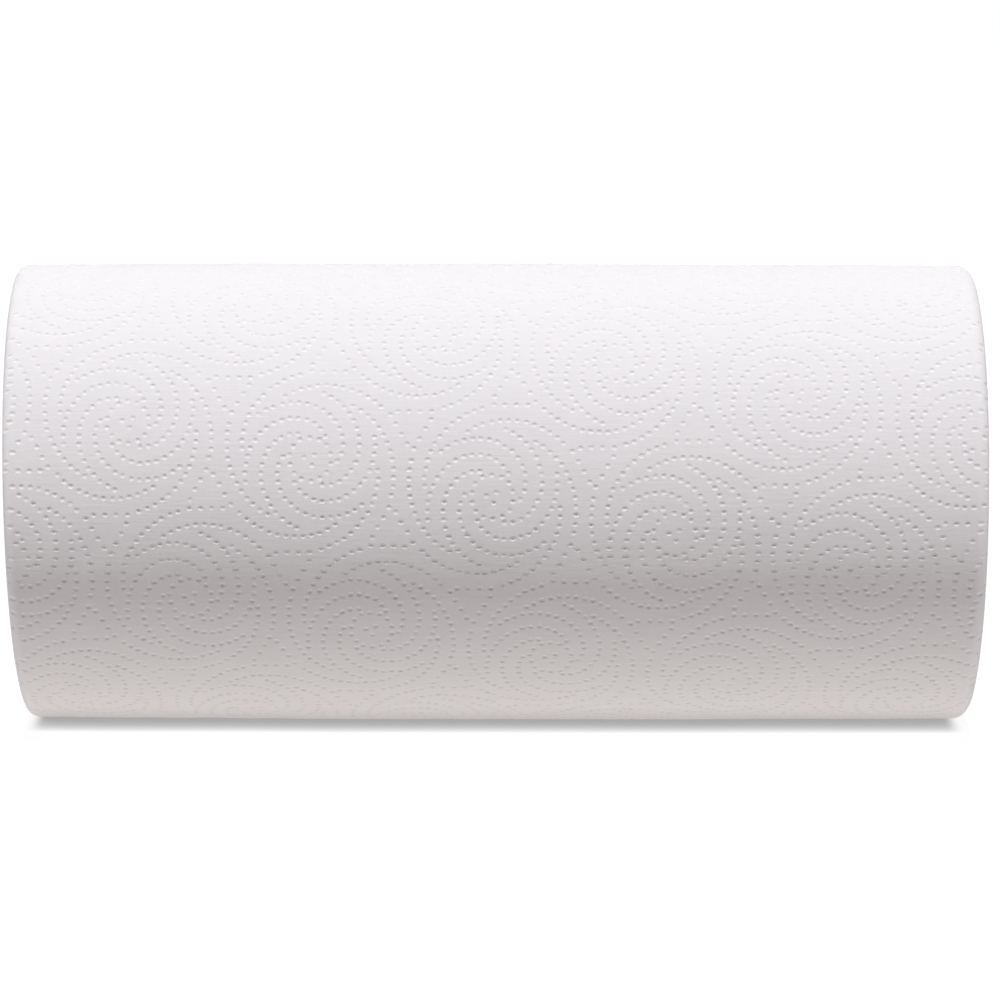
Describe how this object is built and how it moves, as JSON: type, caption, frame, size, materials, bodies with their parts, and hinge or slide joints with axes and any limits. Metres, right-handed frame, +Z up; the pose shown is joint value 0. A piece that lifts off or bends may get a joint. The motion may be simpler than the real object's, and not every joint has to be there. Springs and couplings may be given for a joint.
{
  "type": "paper towel roll",
  "caption": "Embossed white paper towel roll on a cardboard core, lying on its side; a holder's rod passes through the core.",
  "frame": {"origin": "centre of the small flat spot that the soft roll lies on, under the middle of its length", "axes": "+X along the roll, +Z up, -Y the front that the picture shows"},
  "size_m": [0.2794, 0.1337, 0.1333],
  "materials": {
    "paper": "matte, soft, embossed",
    "cardboard": "matte, spirally wound grey-brown board"
  },
  "bodies": {
    "root": {"paper_roll": "paper", "core_tube": "cardboard"}
  },
  "joints": []
}
